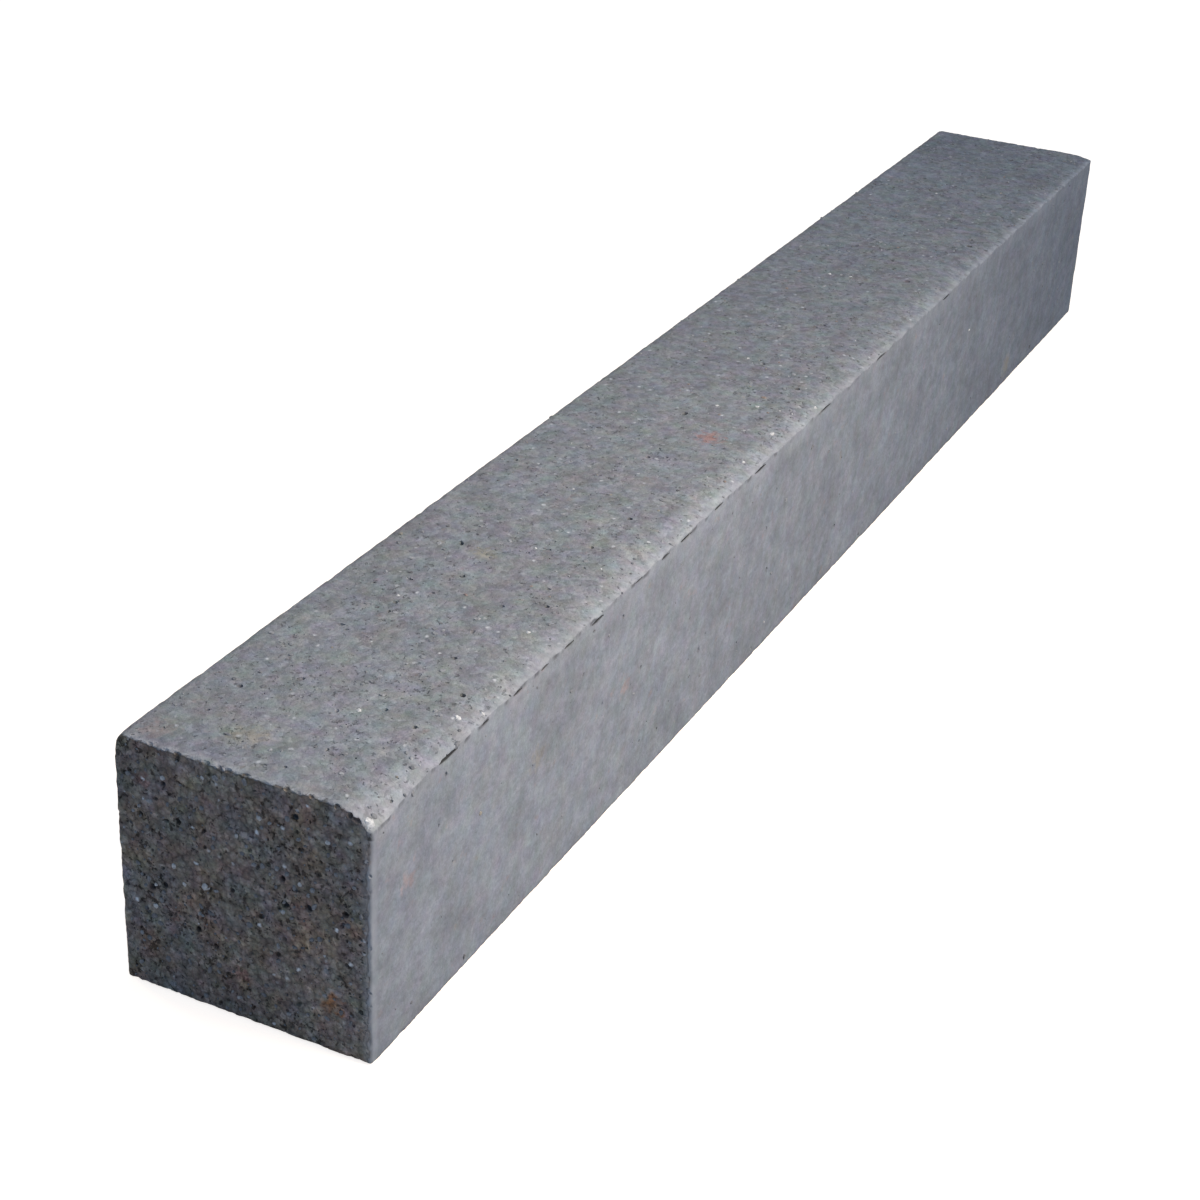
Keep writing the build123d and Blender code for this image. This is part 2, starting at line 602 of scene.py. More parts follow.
def grain_tree():
    """Sand grains that stand a little proud of the skin, and the listed larger ones."""
    tree, given = geometry_tree("strew_grains", {
        "Geometry": ("Geometry", None), "Listed": ("Object", None), "Material": ("Material", None),
        "Spacing": ("Float", 3.6 * MM), "Radius": ("Float", 1.5 * MM), "Seed": ("Int", 4)})
    lumpy = lumpy_shapes(tree, 6, 4, 1.2)
    craggy = lumpy_shapes(tree, 14, 9, 1.4)
    grains = scattered(tree, given["Geometry"], lumpy, "grain_share", given["Spacing"],
                       sizes=(0.45 * MM, given["Radius"]), flatness=0.7, sunk=0.45,
                       patchiness=0.6, seed=given["Seed"])
    tinted = add(tree, "GeometryNodeStoreNamedAttribute",
                 {"Geometry": grains, "Name": "tint", "Value": random_number(tree, 0.0, 1.0, 21)},
                 data_type="FLOAT", domain="INSTANCE").outputs[0]
    places = add(tree, "GeometryNodeObjectInfo", {"Object": given["Listed"]}).outputs["Geometry"]
    listed = add(tree, "GeometryNodeInstanceOnPoints", {
        "Points": places, "Instance": craggy, "Pick Instance": True,
        "Scale": stored(tree, "half_size")}).outputs[0]
    both = add(tree, "GeometryNodeJoinGeometry")
    tree.links.new(tinted, both.inputs[0])
    tree.links.new(listed, both.inputs[0])
    finish_tree(tree, both.outputs[0], given["Material"])
    return tree


# Larger chips that show, as place and half size in millimetres
CHIPS = (
    ((500, -60, 41), (2.5, 2.0, 3.0)), ((500, -60, 10), (2.0, 2.0, 2.5)),
    ((-500, 38, 0), (2.5, 3.0, 1.5)), ((-500, -20, 0), (2.0, 4.0, 1.4)),
)

# Slits under the crease that show: distance along the stone, half length and half height, in mm
CREASE_SLITS = (
    (-441, 6.5, 1.2), (-411, 2.0, 0.8), (-383, 3.0, 0.85), (-359, 2.5, 0.8), (-336, 3.5, 0.85),
    (-308, 5.0, 1.0), (-266, 3.0, 0.8), (-237, 3.5, 0.85), (-214, 5.0, 1.0), (-175, 4.0, 0.9),
    (-122, 6.0, 0.95), (-31, 6.0, 0.9), (56, 7.0, 0.9), (171, 5.0, 0.85),
)

# Larger pits that show: face, two places and radius in mm
PITS = (
    ("top", -312, 7, 1.5), ("top", -379, -27, 1.3), ("top", -404, -45, 1.5), ("top", -328, -22, 1.3),
    ("top", -318, -39, 1.4), ("top", -349, 20, 1.2), ("top", -436, -41, 1.4), ("top", -430, -24, 1.2),
    ("top", -219, -32, 1.6), ("top", -150, -9, 1.4), ("top", -25, -40, 1.8), ("top", 171, -34, 2.0),
    ("top", 258, -45, 2.2), ("top", 270, -42, 1.9),
    ("end", -20, 65, 2.0), ("end", -31, 67, 2.0), ("end", -19, 77, 1.8), ("end", 38, 54, 1.8),
    ("end", 44, 51, 1.7), ("end", 5, 63, 1.5), ("end", 48, 85, 1.5), ("end", 36, 103, 1.4),
    ("road", -281, 103, 1.2), ("road", -258, 65, 1.2),
)


def end_arris_nicks(rng):
    """Small nicks along the arrises round both ends, as places, half sizes and turns."""
    bed = ((-WIDTH / 2, 0), (WIDTH / 2, 0), 9.0, 0.6, 1.2)
    back = ((WIDTH / 2, 6 * MM), (WIDTH / 2, HEIGHT - 16 * MM), 9.0, 0.5, 0.9)
    top = ((WIDTH / 2 - 11 * MM, HEIGHT), (-WIDTH / 2 + NOSE_RUN, HEIGHT), 6.0, 1.0, 2.0)
    nose = ((-WIDTH / 2 + NOSE_RUN, HEIGHT), (-WIDTH / 2 + 4 * MM, CREASE_Z), 6.0, 0.8, 1.5)
    road = ((-WIDTH / 2 + MM, CREASE_Z - 9 * MM), (-WIDTH / 2 + MM, 6 * MM), 9.0, 0.8, 1.4)
    for side in (-1, 1):
        for start, stop, spacing, smallest, largest in (bed, back, top, nose, road):
            start, stop = np.array(start), np.array(stop)
            count = round(float(np.linalg.norm(stop - start)) / (spacing * MM))
            for step in range(count):
                y, z = start + (stop - start) * (step + rng.uniform(0.25, 0.75)) / count
                half = rng.uniform(smallest, largest, 3) * MM
                half[1 + np.argmax(np.abs(stop - start))] *= 1.7
                if rng.random() < 0.8:
                    yield (side * (LENGTH / 2 - 0.6 * MM), y, z), half, rng.uniform(-0.7, 0.7, 3)


def crease_slits(rng):
    """The listed slits, just under the crease."""
    for x, half_length, half_height in CREASE_SLITS:
        crease = HEIGHT - float(nose_drop(np.array([x * MM]))[0])
        place = (x * MM, -WIDTH / 2 + 1.0 * MM, crease - (half_height + 0.9) * MM)
        half_size = ((1.15 * half_length + 1.0) * MM, 2.6 * half_height * MM, half_height * MM)
        yield place, half_size, (rng.uniform(0.05, 0.2), 0, rng.uniform(-0.03, 0.03))


def chips():
    """The listed larger chips."""
    for place, half in CHIPS:
        yield np.array(place) * MM, np.array(half) * MM, (0.2, 0.3, 0.1)


def pits():
    """The listed larger pits."""
    for face, first, second, radius in PITS:
        place, inwards = on_skin(face, first * MM, second * MM)
        yield place + 0.2 * radius * MM * inwards, radius * MM * (1 + 0.5 * np.abs(inwards)), (0, 0, 0)


def point_cloud(name, rows):
    """Points with the half sizes and turns of what goes on them."""
    places, sizes, turns = (np.array(column, float) for column in zip(*rows))
    mesh = bpy.data.meshes.new(name)
    mesh.from_pydata(places.tolist(), [], [])
    for label, values in (("half_size", sizes), ("turn", turns)):
        column = mesh.attributes.new(label, "FLOAT_VECTOR", "POINT")
        column.data.foreach_set("vector", values.ravel())
    return linked(name, mesh)


def mark_points():
    """Points that say where listed marks are cut."""
    rng = np.random.default_rng(SEED + 1)
    return point_cloud("marks", [*crease_slits(rng), *end_arris_nicks(rng), *chips(), *pits()])


def on_skin(face, first, second):
    """A point of the smooth skin and the way inwards, from two places on a face.

    The places are y and z on the near end, x and y on the top, and x and z on the road face.
    """
    if face == "end":
        return np.array((-LENGTH / 2, first, second)), np.array((1, 0, 0))
    if face == "road":
        return np.array((first, -WIDTH / 2, second)), np.array((0, 1, 0))
    past = max(0, -WIDTH / 2 + NOSE_RUN - second)
    drop = NOSE_RADIUS - math.sqrt(NOSE_RADIUS ** 2 - past ** 2)
    place = np.array([(first, second, HEIGHT - drop)])
    shape_nose(place)
    return place[0], np.array((0, 0, -1))


# White grains that show: face, two places and radius in millimetres
WHITE = 0.95
SHOWN_GRAINS = (
    ("end", -9, 102, 1.4), ("end", -40, 101, 1.3), ("end", 18, 60, 1.8), ("end", 28, 58, 1.2),
    ("end", 33, 65, 1.1), ("end", 43, 42, 1.2), ("end", -27, 77, 1.2), ("end", -19, 61, 1.1),
    ("end", 17, 112, 1.1), ("end", 2, 90, 1.0), ("top", -436, -15, 1.4), ("top", -419, -51, 1.5),
    ("top", -409, -57, 1.5), ("top", -343, 22, 1.1), ("top", -343, -43, 1.1), ("top", -39, -56, 1.4),
    ("top", -496.5, -56.5, 2.2), ("top", 158, 12, 1.5), ("top", 1, 0, 1.3), ("top", -70, -12, 1.3),
)


def grain_points():
    """Points for the listed grains, each sunk into the skin by part of its radius."""
    rows = []
    for face, first, second, radius in SHOWN_GRAINS:
        place, inwards = on_skin(face, first * MM, second * MM)
        sunk = (0.5 + 0.6 * radius) * MM
        rows.append((place + inwards * sunk, np.full(3, radius * MM), (0, 0, 0)))
    places = point_cloud("shown_grains", rows)
    column = places.data.attributes.new("tint", "FLOAT", "POINT")
    column.data.foreach_set("value", [WHITE] * len(rows))
    return places


def upper_depth(points):
    """How far below the top, the nose and the back arris each point lies, before the wear."""
    _, y, z = moulded(points).T
    depth = HEIGHT - z
    for centre, radius, near in (
        (-WIDTH / 2 + NOSE_RUN, NOSE_RADIUS, y < -WIDTH / 2 + NOSE_RUN),
        (WIDTH / 2 - BACK_ARRIS_RADIUS, BACK_ARRIS_RADIUS, y > WIDTH / 2 - BACK_ARRIS_RADIUS),
    ):
        near &= z > HEIGHT - radius
        to_arc = radius - np.hypot(y - centre, z - HEIGHT + radius)
        depth = np.where(near, np.minimum(depth, to_arc), depth)
    return depth


def skin_depth(points):
    """How deep inside the nominal skin each point lies."""
    x, y, z = moulded(points).T
    depth = np.minimum.reduce([LENGTH / 2 - np.abs(x), WIDTH / 2 - np.abs(y), z, upper_depth(points)])
    return np.minimum(depth, np.maximum(-past_knock(points), 0))


def store_depth(mesh):
    """Keeps on a piece what its material needs to know of each point's place in the stone."""
    points = np.empty(len(mesh.vertices) * 3)
    mesh.vertices.foreach_get("co", points)
    points = points.reshape(-1, 3)
    for name, values in (("depth_mm", skin_depth(points) / MM), ("upper_depth", upper_depth(points)),
                         ("mould_z", moulded(points)[:, 2])):
        column = mesh.attributes.new(name, "FLOAT", "POINT")
        column.data.foreach_set("value", values)


# Materials

def blank_tree(owner):
    """The emptied node tree of a material or a world."""
    owner.use_nodes = True
    owner.node_tree.nodes.clear()
    return owner.node_tree


def kept_number(tree, name):
    """A number that the piece keeps for its material."""
    return add(tree, "ShaderNodeAttribute", attribute_name=name).outputs["Fac"]


def mixed(tree, share, first, second, blend="MIX"):
    """Two colours mixed by a share."""
    return add(tree, "ShaderNodeMix", {0: share, 6: first, 7: second},
               data_type="RGBA", blend_type=blend).outputs[2]


def bumpy(tree, vector, size, detail=3.0, roughness=0.6):
    """Noise with lumps of the given size."""
    return add(tree, "ShaderNodeTexNoise", {"Vector": vector, "Scale": 1 / size, "Detail": detail,
                                            "Roughness": roughness}).outputs


def mix_number(tree, share, first, second):
    """Two numbers mixed by a share."""
    return add(tree, "ShaderNodeMix", {0: share, 2: first, 3: second}, data_type="FLOAT").outputs[0]


class Place:
    """A point of the stone's skin: where it lies, and how much it belongs to an end and to the top."""

    def __init__(self, tree):
        self.tree = tree
        self.at = add(tree, "ShaderNodeTexCoord").outputs["Object"]
        self.x, self.y, _ = add(tree, "ShaderNodeSeparateXYZ", {0: self.at}).outputs
        # The height is the one before the nose was shaped
        self.z = kept_number(tree, "mould_z")
        self.end = self.end_share()
        self.top = varied(tree, self.z, 0, 1, CREASE_Z - 0.6 * MM, CREASE_Z + 0.6 * MM)

    def end_share(self):
        """How much the point belongs to an open end face, whose arrises the other faces' skins wrap."""
        tree = self.tree
        ragged = varied(tree, bumpy(tree, self.at, 5 * MM, 3)["Fac"], -0.9 * MM, 0.9 * MM, 0.3, 0.7)
        out = maths(tree, "ADD", maths(tree, "ABSOLUTE", self.x), ragged)
        in_from_road = maths(tree, "ADD", maths(tree, "ADD", self.y, WIDTH / 2), ragged)
        down = maths(tree, "ADD", kept_number(tree, "upper_depth"), ragged)
        return product(tree, varied(tree, out, 0, 1, LENGTH / 2 - 2.4 * MM, LENGTH / 2 - 1.8 * MM),
                       varied(tree, in_from_road, 0, 1, 1.8 * MM, 2.8 * MM),
                       varied(tree, down, 0, 1, 1.0 * MM, 1.7 * MM))

    def by_face(self, side, upper, ends):
        """A number that differs between the sides, the top and the ends."""
        tree = self.tree
        return mix_number(tree, self.end, mix_number(tree, self.top, side, upper), ends)

    def swing(self, value, side, upper, ends, low=0.3, high=0.7):
        """A factor round 1, with a swing for the sides, the top and the ends."""
        swung = varied(self.tree, value, -1, 1, low, high)
        return maths(self.tree, "MULTIPLY_ADD", swung, self.by_face(side, upper, ends), 1.0)

    def from_crease(self):
        """The distance to the crease between the nose and the road face."""
        tree = self.tree
        across = maths(tree, "ADD", self.y, WIDTH / 2)
        up = maths(tree, "SUBTRACT", self.z, CREASE_Z)
        squares = maths(tree, "ADD", product(tree, across, across), product(tree, up, up))
        return maths(tree, "SQRT", squares)


# Stains that show: face, two places and radius in millimetres, strength and colour
ORANGE = (0.36, 0.16, 0.065)
RUST = (0.36, 0.20, 0.17)
EARTH = (0.31, 0.235, 0.165)
ROSE = (0.34, 0.25, 0.235)
OCHRE = (0.32, 0.285, 0.225)
STAINS = (
    ("end", -42, 25, 5.5, 0.8, ORANGE), ("end", 1, 24, 3.5, 0.8, RUST), ("end", 34, 40, 3.0, 0.8, RUST),
    ("end", -33, 91, 6.0, 0.9, EARTH), ("end", 47, 101, 4.5, 0.6, RUST), ("end", 51, 85, 6.0, 0.7, EARTH),
    ("end", 30, 108, 7.0, 0.7, EARTH), ("end", 8, 112, 7.0, 0.8, OCHRE), ("end", 10, 42, 4.5, 0.7, ROSE),
    ("end", 48, 92, 6.0, 0.6, OCHRE), ("end", -8, 38, 6.0, 0.6, EARTH),
    ("top", -474, 11, 9.0, 0.75, OCHRE), ("top", -489, 47, 8.0, 0.5, ROSE),
    ("top", -287, 10, 7.0, 0.7, OCHRE), ("top", -111, -26, 8.0, 0.8, RUST),
    ("road", -472, 73, 6.0, 0.6, ROSE), ("road", -275, 63, 6.0, 0.6, ROSE),
    ("road", -362, 71, 7.0, 0.5, OCHRE), ("road", 334, 14, 9.0, 0.7, OCHRE),
)


def strayed(tree, at, size, reach):
    """The place shifted about by noise, so that what is laid on it has a loose outline."""
    noises = bumpy(tree, at, size, 1, 0.65)["Color"]
    return vector_maths(tree, "ADD", at, offset_by_noise(tree, noises, reach))


def stained(spot, colour):
    """The colour with the listed stains on it, each on its own side of the end arris."""
    tree = spot.tree
    long_side = maths(tree, "SUBTRACT", 1.0, spot.end)
    loose = strayed(tree, spot.at, 4 * MM, 16 * MM)
    for face, first, second, radius, strength, tint in STAINS:
        centre = tuple(on_skin(face, first * MM, second * MM)[0])
        away = add(tree, "ShaderNodeVectorMath", {0: loose, 1: centre},
                   operation="DISTANCE").outputs["Value"]
        share = varied(tree, away, strength, 0, 0.3 * radius * MM, 1.1 * radius * MM)
        share = product(tree, share, spot.end if face == "end" else long_side)
        colour = mixed(tree, share, colour, (*tint, 1))
    return colour


# Greys and tints of the cast concrete, and the colours of its painted highlights and shade
SIDE_GREY = (0.243, 0.253, 0.273, 1)
TOP_GREY = (0.247, 0.252, 0.260, 1)
# The nose's paler grey is a painted highlight
NOSE_HIGHLIGHT_GREY = (0.318, 0.325, 0.336, 1)
END_GROUND = (0.276, 0.230, 0.192, 1)
BROWN = (0.29, 0.262, 0.235, 1)
END_BROWN = (0.30, 0.207, 0.138, 1)
COLD = (0.225, 0.245, 0.265, 1)
END_COLD = (0.205, 0.225, 0.225, 1)
PINKISH = (0.34, 0.235, 0.205, 1)
# Pale colour of the worn arrises, partly painted highlight, and of the painted highlights along the
# crease
PALE_WEAR_AND_HIGHLIGHT = (0.44, 0.445, 0.455, 1)
# Painted shade along the top's back arris
PAINTED_BACK_SHADE = (0.10, 0.10, 0.105, 1)
# Painted shadow under the crease
PAINTED_CREASE_SHADOW = (0.06, 0.06, 0.065, 1)
SPECK = (0.62, 0.62, 0.62, 1)
END_SPECK = (0.80, 0.80, 0.80, 1)
# Painted shade deep inside the pores and the slits
CAVITY_SHADE = (0.014, 0.014, 0.015, 1)

# Sizes of the grit in the skin, and of the knobs that it leaves on the open ends
GRIT_SIZE = 2.6 * MM
KNOB_SIZE = 2.9 * MM
SPECK_SIZE = 6 * MM


def ground_colour(spot, bent):
    """The concrete's own colour with a painted highlight on the nose, before its light and dark."""
    tree, at, end = spot.tree, spot.at, spot.end
    # A painted highlight on the nose, fading towards the far end
    on_nose = varied(tree, spot.y, 1, 0, -WIDTH / 2 + 4 * MM, -WIDTH / 2 + 15 * MM)
    paler_near = varied(tree, spot.x, 1, 0.3, 0.1 * LENGTH, 0.4 * LENGTH)
    base = mixed(tree, spot.top, SIDE_GREY, TOP_GREY)
    base = mixed(tree, product(tree, on_nose, paler_near, spot.top), base, NOSE_HIGHLIGHT_GREY)
    base = mixed(tree, end, base, END_GROUND)
    earthy = bumpy(tree, at, 17 * MM, 3, 0.6)["Fac"]
    brown = varied(tree, earthy, 0, spot.by_face(0.10, 0.18, 0.60), 0.52, 0.66)
    base = mixed(tree, brown, base, mixed(tree, end, BROWN, END_BROWN))
    cold = varied(tree, earthy, spot.by_face(0.15, 0.18, 0.40), 0, 0.36, 0.48)
    base = mixed(tree, cold, base, mixed(tree, end, COLD, END_COLD))
    flecks = bumpy(tree, bent, 7 * MM, 2)["Fac"]
    pinkish = varied(tree, flecks, 0, spot.by_face(0.30, 0.25, 0.30), 0.66, 0.76)
    base = mixed(tree, pinkish, base, PINKISH)
    hues = bumpy(tree, at, 9 * MM, 3)["Color"]
    return mixed(tree, spot.by_face(0.14, 0.24, 0.30), base, hues, "SOFT_LIGHT")


def pinprick_share(spot, bent):
    """How much a point lies in one of the small pits of the skin, which crowd in places."""
    tree = spot.tree
    pits = bumpy(tree, bent, 2.7 * MM, 3, 0.6)["Fac"]
    crowded = varied(tree, bumpy(tree, spot.at, 22 * MM, 2)["Fac"], -0.035, 0.035, 0.35, 0.65)
    limit = maths(tree, "ADD", spot.by_face(0.27, 0.345, 0.385), crowded)
    return varied(tree, maths(tree, "SUBTRACT", limit, pits), 0, 1, -0.015, 0.03)


def light_and_dark(spot, grit, blotches, dust, pinprick):
    """The factor that makes the colour lighter or darker from place to place, with painted shade in the
    small pits and a painted highlight on the ends' knobs with painted shade between them.
    """
    tree = spot.tree
    clouds = bumpy(tree, spot.at, 80 * MM, 3)["Fac"]
    mottles = bumpy(tree, spot.at, 24 * MM, 3)["Fac"]
    grain = add(tree, "ShaderNodeSeparateColor", {0: grit["Color"]}).outputs[0]
    # Painted highlight on the ends' knobs and painted shade in the gaps between them
    knob_highlight_and_shade = varied(tree, grit["Distance"], 1.25, 0.60, 0.20, 0.80)
    return product(
        tree, spot.swing(clouds, 0.07, 0.07, 0.06), spot.swing(mottles, 0.12, 0.10, 0.12),
        spot.swing(blotches, 0.14, 0.18, 0.22), spot.swing(grain, 0.06, 0.16, 0.34, 0.0, 1.0),
        mix_number(tree, spot.end, 1.0, knob_highlight_and_shade), spot.swing(dust, 0.13, 0.15, 0.32),
        # Painted shade in the small pits
        mix_number(tree, pinprick, 1.0, spot.by_face(0.75, 0.62, 0.35)))


def line_noise(tree, run, size, detail=2.0):
    """Noise that changes in one direction only."""
    inputs = {"W": maths(tree, "DIVIDE", run, size), "Scale": 1.0, "Detail": detail}
    return add(tree, "ShaderNodeTexNoise", inputs, noise_dimensions="1D").outputs["Fac"]


def marked_arrises(spot, dust, colour):
    """The colour with pale bands along the arrises that are partly wear and partly painted highlight,
    painted highlights along the crease and just under it, painted shade along the back arris and a
    painted shadow under the crease.
    """
    tree, x, y, z = spot.tree, spot.x, spot.y, spot.z
    ragged = product(tree, varied(tree, dust, -1.2, 1.2, 0.3, 0.7), MM)
    from_end = maths(tree, "SUBTRACT", LENGTH / 2, maths(tree, "ABSOLUTE", x))
    from_road = maths(tree, "ADD", y, WIDTH / 2)
    from_back = maths(tree, "SUBTRACT", WIDTH / 2, y)
    from_top = maths(tree, "SUBTRACT", HEIGHT, z)
    roadside = varied(tree, from_road, 1, 0, 4 * MM, 6 * MM)
    below = maths(tree, "SUBTRACT", CREASE_Z, z)

    def loosely(distance):
        """The distance with its bands' outlines made ragged."""
        return maths(tree, "ADD", distance, ragged)

    # Pale bands along the upright arrises: partly wear, partly painted highlight
    upright = varied(tree, loosely(maths(tree, "MAXIMUM", from_end, from_road)),
                     0.5, 0, 1.5 * MM, 5.5 * MM)
    broken = varied(tree, line_noise(tree, maths(tree, "ADD", y, x), 6 * MM), 0.15, 1, 0.42, 0.56)
    # Pale band along the top's rim at each end: partly wear, partly painted highlight
    rim = product(tree, varied(tree, loosely(from_end), 0.6, 0, 2.0 * MM, 4.5 * MM), broken,
                  spot.top, maths(tree, "SUBTRACT", 1.0, spot.end))
    # A painted highlight along the crease, stronger towards the far end
    crease_highlight = product(tree, varied(tree, loosely(spot.from_crease()), 0.55, 0, MM, 5 * MM),
                   varied(tree, line_noise(tree, x, 7 * MM), 0.4, 1.1, 0.38, 0.60),
                   varied(tree, loosely(z), 0.1, 1, CREASE_Z - 1.8 * MM, CREASE_Z),
                   varied(tree, x, 1, 1.6, 0.1 * LENGTH, 0.4 * LENGTH))
    road_face = maths(tree, "SUBTRACT", roadside, maths(tree, "MAXIMUM", spot.top, spot.end),
                      use_clamp=True)
    # A painted highlight on the road face just under the crease
    under_crease_highlight = product(tree, varied(tree, below, 0.20, 0, MM, 12 * MM), road_face)
    # Wear and painted highlights laid on as one pale colour
    pale = maths(tree, "MAXIMUM", maths(tree, "MAXIMUM", upright, rim), maths(tree, "MAXIMUM", crease_highlight, under_crease_highlight))
    colour = mixed(tree, pale, colour, PALE_WEAR_AND_HIGHLIGHT)

    # Painted shade along the top's back arris, where it turns away from the light
    back_arris = maths(tree, "MAXIMUM", from_back, from_top)
    back_arris_shade = product(tree, varied(tree, loosely(back_arris), 0.4, 0, 1.5 * MM, 5.0 * MM),
                    varied(tree, from_top, 1, 0, 1.5 * MM, 4.5 * MM))
    colour = mixed(tree, back_arris_shade, colour, PAINTED_BACK_SHADE)

    # A painted shadow in broken dashes just under the crease, fading towards the far end
    shadow = product(tree, varied(tree, below, 0, 1, 0.2 * MM, 0.8 * MM),
                     varied(tree, below, 1, 0, 1.6 * MM, 3.0 * MM),
                     varied(tree, line_noise(tree, x, 11 * MM, 3.0), 0, 0.6, 0.50, 0.62),
                     varied(tree, x, 1, 0.1, -0.12 * LENGTH, 0.08 * LENGTH),
                     maths(tree, "SUBTRACT", roadside, spot.end, use_clamp=True))
    return mixed(tree, shadow, colour, PAINTED_CREASE_SHADOW)


def specked(spot, bent, colour):
    """The colour with rare pale specks of sand in the skin."""
    tree = spot.tree
    specks = add(tree, "ShaderNodeTexVoronoi", {"Vector": bent, "Scale": 1 / SPECK_SIZE}).outputs
    rare = add(tree, "ShaderNodeSeparateColor", {0: specks["Color"]}).outputs[1]
    share = product(tree, varied(tree, specks["Distance"], 1, 0, 0.08, 0.20),
                    varied(tree, rare, 0, spot.by_face(0.4, 0.8, 1.0), 0.54, 0.92))
    return mixed(tree, share, colour, mixed(tree, spot.end, SPECK, END_SPECK))


def shaded_in_hollows(spot, colour):
    """The colour with painted shade deep inside the pores and in the slits under the crease."""
    tree, z = spot.tree, spot.z
    depth = kept_number(tree, "depth_mm")
    # Painted shade, darker deeper inside the pores
    cavity_shade = varied(tree, depth, 0, spot.by_face(0.75, 0.75, 0.85),
                    mix_number(tree, spot.end, 0.95, 1.05), 2.2)
    # Painted shade in the slits under the crease
    slit_shade = product(tree, varied(tree, depth, 0, 0.85, 0.65, 1.2),
                   varied(tree, spot.from_crease(), 1, 0, 4.5 * MM, 5.5 * MM),
                   varied(tree, z, 1, 0, CREASE_Z - 0.4 * MM, CREASE_Z + 0.4 * MM))
    return mixed(tree, maths(tree, "MAXIMUM", cavity_shade, slit_shade), colour, CAVITY_SHADE)


def rough_skin(spot, bent, grit, blotches, dust, pinprick):
    """The fine roughness that is too small for the mesh."""
    tree = spot.tree
    knobs = bumpy(tree, bent, 4 * MM, 2)["Fac"]
    sand = bumpy(tree, spot.at, 0.55 * MM, 2, 0.6)["Fac"]
    height = product(tree, blotches, 0.6)
    for part, share in ((knobs, 0.9), (dust, 0.5), (sand, 0.22), (pinprick, -0.55),
                        (grit["Distance"], spot.by_face(-0.35, -0.35, -0.8))):
        height = maths(tree, "MULTIPLY_ADD", part, share, height)
    return add(tree, "ShaderNodeBump", {"Height": height, "Strength": spot.by_face(0.32, 0.85, 1.0),
                                        "Distance": 0.8 * MM}).outputs[0]


def concrete():
    """Pressed grey concrete: smooth on the mould sides, rough on top, open at the ends and dark there
    with painted shade, with painted highlights along the nose and the crease.
    """
    material = bpy.data.materials.new("pressed_concrete")
    tree = blank_tree(material)
    spot = Place(tree)
    warp = bumpy(tree, spot.at, 3 * MM, 2, 0.65)["Color"]
    bent = vector_maths(tree, "ADD", spot.at, scaled(tree, warp, 2.4 * MM))
    grit_scale = mix_number(tree, spot.end, 1 / GRIT_SIZE, 1 / KNOB_SIZE)
    grit = add(tree, "ShaderNodeTexVoronoi", {"Vector": bent, "Scale": grit_scale}).outputs
    blotches = bumpy(tree, spot.at, 8 * MM, 4, 0.65)["Fac"]
    dust = bumpy(tree, spot.at, 1.2 * MM, 4, 0.7)["Fac"]
    pinprick = pinprick_share(spot, bent)
    colour = scaled(tree, stained(spot, ground_colour(spot, bent)),
                    light_and_dark(spot, grit, blotches, dust, pinprick))
    colour = marked_arrises(spot, dust, colour)
    colour = shaded_in_hollows(spot, specked(spot, bent, colour))
    shader = add(tree, "ShaderNodeBsdfPrincipled", {
        "Base Color": colour, "Roughness": 0.92, "Specular IOR Level": 0.12,
        "Normal": rough_skin(spot, bent, grit, blotches, dust, pinprick)})
    add(tree, "ShaderNodeOutputMaterial", {"Surface": shader.outputs[0]})
    return material


# The grains' colours, each from its share of the tint up to the next
GRAIN_COLOURS = (
    (0.0, (0.21, 0.21, 0.215)), (0.30, (0.27, 0.275, 0.28)), (0.55, (0.15, 0.15, 0.155)),
    (0.70, (0.36, 0.36, 0.365)), (0.90, (0.09, 0.09, 0.095)), (0.94, (0.74, 0.72, 0.69)),
    (0.96, (0.31, 0.28, 0.23)), (0.975, (0.29, 0.22, 0.18)), (0.99, (0.28, 0.21, 0.19)),
)
CEMENT_FILM = (0.25, 0.25, 0.255, 1)
END_FILM = (0.19, 0.19, 0.195, 1)


def grain_material():
    """Sand and gravel grains: most cement grey, some pale or dark, a few rusty red."""
    material = bpy.data.materials.new("aggregate")
    tree = blank_tree(material)
    spot = Place(tree)
    at, end = spot.at, spot.end
    tint = kept_number(tree, "tint")
    ramp = add(tree, "ShaderNodeValToRGB", {0: tint})
    stops = ramp.color_ramp.elements
    ramp.color_ramp.interpolation = "CONSTANT"
    for index, (place, colour) in enumerate(GRAIN_COLOURS):
        stop = stops[index] if index < 2 else stops.new(place)
        stop.position = place
        stop.color = (*colour, 1)
    darker = mixed(tree, end, (1, 1, 1, 1), (0.85, 0.85, 0.85, 1))
    colour = mixed(tree, 1.0, ramp.outputs[0], darker, "MULTIPLY")
    film = varied(tree, bumpy(tree, at, 1.8 * MM, 4, 0.7)["Fac"], 0, 0.85, 0.44, 0.58)
    film = product(tree, film, varied(tree, tint, 1, 0.45, 0.935, 0.94))
    colour = mixed(tree, film, colour, mixed(tree, end, CEMENT_FILM, END_FILM))
    dust = bumpy(tree, at, 1.0 * MM, 3)["Fac"]
    colour = scaled(tree, colour, varied(tree, dust, 0.75, 1.25, 0.3, 0.7))
    bump = add(tree, "ShaderNodeBump", {"Height": dust, "Strength": 0.6, "Distance": 0.3 * MM})
    shader = add(tree, "ShaderNodeBsdfPrincipled", {
        "Base Color": colour, "Roughness": 0.85, "Specular IOR Level": 0.2,
        "Normal": bump.outputs[0]})
    add(tree, "ShaderNodeOutputMaterial", {"Surface": shader.outputs[0]})
    return material


# The pieces

BOX_MARGIN = 0.02 * MM
SHARP_ANGLE = math.radians(38)


